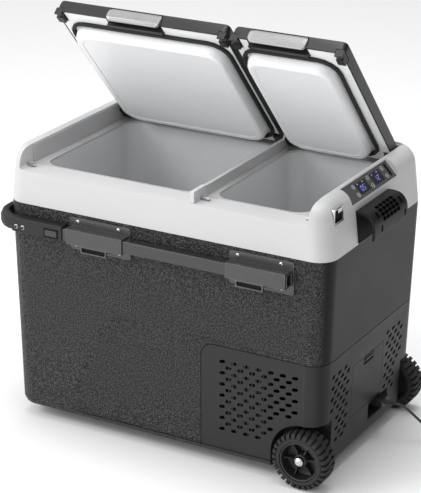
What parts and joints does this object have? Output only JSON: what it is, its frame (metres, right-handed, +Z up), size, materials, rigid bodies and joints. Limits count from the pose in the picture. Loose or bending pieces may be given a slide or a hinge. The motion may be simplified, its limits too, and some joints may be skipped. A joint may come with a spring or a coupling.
{
  "type": "compressor cooler fridge",
  "caption": "Wheeled box fridge with two cold compartments under hinged lids, a telescopic tow handle, and a vented compressor bay with a 12 V lead",
  "frame": {"origin": "On the floor under the middle of the object's box, measured without the lead", "axes": "+Z up; +X along the long side towards the wheels, +Y towards the lid hinges, so the tow rails seen from the front face -Y"},
  "size_m": [0.8813, 0.4518, 0.7771],
  "materials": {
    "shell_dark": "fine orange-peel texture on the front and rear, satin elsewhere",
    "cover_dark": "satin",
    "frame_light": "satin light grey moulding",
    "deck_grey": "satin mid grey moulding",
    "tub_grey": "smooth satin",
    "foam": "rigid foam, cut surface",
    "pin_chrome": "polished",
    "lid_dark": "satin",
    "liner_white": "soft gloss",
    "gasket_black": "matt rubber",
    "latch_silver": "brushed look lacquer",
    "lock_black": "matt",
    "panel_black": "gloss film",
    "display_dark": "dark window",
    "key_grey": "matt",
    "opener_chrome": "polished",
    "handle_black": "satin",
    "guide_black": "black powder coat",
    "bar_black": "black anodised",
    "grip_black": "fine matt grain",
    "button_black": "matt",
    "tyre_black": "matt rubber",
    "rim_black": "satin",
    "axle_steel": "bright zinc",
    "foot_rubber": "matt rubber",
    "tray_black": "matt moulding",
    "can_black": "gloss black paint",
    "condenser_alu": "bare fins",
    "fan_black": "matt",
    "lead_black": "soft PVC, satin",
    "plug_black": "moulded plug"
  },
  "bodies": {
    "case": {"outer_shell": "shell_dark", "insulation_foam": "foam", "top_frame": "frame_light", "inner_deck": "deck_grey", "left_tub": "tub_grey", "right_tub": "tub_grey", "front_pin_left": "pin_chrome", "front_pin_middle": "pin_chrome", "front_pin_right": "pin_chrome", "rear_pin_left": "pin_chrome", "rear_pin_middle": "pin_chrome", "rear_pin_right": "pin_chrome", "compressor_cover": "cover_dark", "service_bay": "handle_black", "base_tray": "tray_black", "compressor": "can_black", "condenser": "condenser_alu", "fan_frame": "fan_black", "control_panel": "panel_black", "display_board": "display_dark", "bottle_opener": "opener_chrome", "side_grab_handle": "handle_black", "front_rail_guides": "guide_black", "rear_rail_guides": "guide_black", "axle": "axle_steel", "foot_strip": "foot_rubber", "dc_plug": "plug_black", "dc_lead": "lead_black", "lead_coil": "lead_black", "car_plug": "plug_black"},
    "left_lid": {"left_lid_shell": "lid_dark", "left_lid_liner": "liner_white", "left_gasket": "gasket_black", "left_lock_bar": "lock_black"},
    "right_lid": {"right_lid_shell": "lid_dark", "right_lid_liner": "liner_white", "right_gasket": "gasket_black", "right_lock_bar": "lock_black"},
    "left_front_latch": {"left_front_latch": "latch_silver"},
    "left_rear_latch": {"left_rear_latch": "latch_silver"},
    "right_front_latch": {"right_front_latch": "latch_silver"},
    "right_rear_latch": {"right_rear_latch": "latch_silver"},
    "fan": {"fan_rotor": "fan_black"},
    "tow_handle": {"handle_grip": "grip_black", "handle_bar_front": "bar_black", "handle_bar_rear": "bar_black"},
    "release_front": {"release_button_front": "button_black"},
    "release_rear": {"release_button_rear": "button_black"},
    "front_wheel": {"front_tyre": "tyre_black", "front_rim": "rim_black"},
    "rear_wheel": {"rear_tyre": "tyre_black", "rear_rim": "rim_black"},
    "hatch": {"battery_hatch": "cover_dark"},
    "hatch_catch": {"hatch_latch": "cover_dark"},
    "key_1": {"key_1": "key_grey"},
    "key_2": {"key_2": "key_grey"},
    "key_3": {"key_3": "key_grey"},
    "key_4": {"key_4": "key_grey"},
    "key_5": {"key_5": "key_grey"},
    "key_6": {"key_6": "key_grey"}
  },
  "joints": [
    {"name": "left_lid_hinge", "type": "hinge", "parent": "case", "child": "left_lid", "pos_m": [-0.1238, 0.168, 0.514], "axis": [1, 0, 0], "range_deg": [-32, 47.9]},
    {"name": "right_lid_hinge", "type": "hinge", "parent": "case", "child": "right_lid", "pos_m": [0.1707, 0.168, 0.514], "axis": [1, 0, 0], "range_deg": [-32, 47.9]},
    {"name": "left_front_latch_swing", "type": "hinge", "parent": "left_lid", "child": "left_front_latch", "pos_m": [-0.1353, -0.057, 0.77271], "axis": [1, 0, 0], "range_deg": [-28, 0], "stiffness_Nm_per_rad": 0.05, "springref_deg": 17.19},
    {"name": "left_rear_latch_swing", "type": "hinge", "parent": "left_lid", "child": "left_rear_latch", "pos_m": [-0.1353, 0.17772, 0.51294], "axis": [1, 0, 0], "range_deg": [0, 28], "stiffness_Nm_per_rad": 0.05, "springref_deg": -17.19},
    {"name": "right_front_latch_swing", "type": "hinge", "parent": "right_lid", "child": "right_front_latch", "pos_m": [0.1527, -0.057, 0.77271], "axis": [1, 0, 0], "range_deg": [-28, 0], "stiffness_Nm_per_rad": 0.05, "springref_deg": 17.19},
    {"name": "right_rear_latch_swing", "type": "hinge", "parent": "right_lid", "child": "right_rear_latch", "pos_m": [0.1527, 0.17772, 0.51294], "axis": [1, 0, 0], "range_deg": [0, 28], "stiffness_Nm_per_rad": 0.05, "springref_deg": -17.19},
    {"name": "key_1_press", "type": "slide", "parent": "case", "child": "key_1", "axis": [-0.7266, 0, -0.687], "range_m": [0, 0.0007], "stiffness_N_per_m": 300, "springref_m": -0.0006},
    {"name": "key_2_press", "type": "slide", "parent": "case", "child": "key_2", "axis": [-0.7266, 0, -0.687], "range_m": [0, 0.0007], "stiffness_N_per_m": 300, "springref_m": -0.0006},
    {"name": "key_3_press", "type": "slide", "parent": "case", "child": "key_3", "axis": [-0.7266, 0, -0.687], "range_m": [0, 0.0007], "stiffness_N_per_m": 300, "springref_m": -0.0006},
    {"name": "key_4_press", "type": "slide", "parent": "case", "child": "key_4", "axis": [-0.7266, 0, -0.687], "range_m": [0, 0.0007], "stiffness_N_per_m": 300, "springref_m": -0.0006},
    {"name": "key_5_press", "type": "slide", "parent": "case", "child": "key_5", "axis": [-0.7266, 0, -0.687], "range_m": [0, 0.0007], "stiffness_N_per_m": 300, "springref_m": -0.0006},
    {"name": "key_6_press", "type": "slide", "parent": "case", "child": "key_6", "axis": [-0.7266, 0, -0.687], "range_m": [0, 0.0007], "stiffness_N_per_m": 300, "springref_m": -0.0006},
    {"name": "fan_spin", "type": "hinge", "parent": "case", "child": "fan", "pos_m": [0.1502, -0.151, 0.122], "axis": [0, 1, 0], "continuous": true},
    {"name": "tow_handle_slide", "type": "slide", "parent": "case", "child": "tow_handle", "axis": [-1, 0, 0], "range_m": [0, 0.32]},
    {"name": "release_front_press", "type": "slide", "parent": "tow_handle", "child": "release_front", "axis": [0, 1, 0], "range_m": [0, 0.0011], "stiffness_N_per_m": 300, "springref_m": -0.0006},
    {"name": "release_rear_press", "type": "slide", "parent": "tow_handle", "child": "release_rear", "axis": [0, -1, 0], "range_m": [0, 0.0011], "stiffness_N_per_m": 300, "springref_m": -0.0006},
    {"name": "front_wheel_roll", "type": "hinge", "parent": "case", "child": "front_wheel", "pos_m": [0.2802, -0.19, 0.054], "axis": [0, 1, 0], "continuous": true},
    {"name": "rear_wheel_roll", "type": "hinge", "parent": "case", "child": "rear_wheel", "pos_m": [0.2802, 0.19, 0.054], "axis": [0, 1, 0], "continuous": true},
    {"name": "hatch_hinge", "type": "hinge", "parent": "case", "child": "hatch", "pos_m": [0.3108, -0.005, 0.088], "axis": [0, 1, 0], "range_deg": [0, 95]},
    {"name": "hatch_catch_slide", "type": "slide", "parent": "hatch", "child": "hatch_catch", "axis": [0, 0, -1], "range_m": [0, 0.003], "stiffness_N_per_m": 150, "springref_m": -0.001}
  ]
}
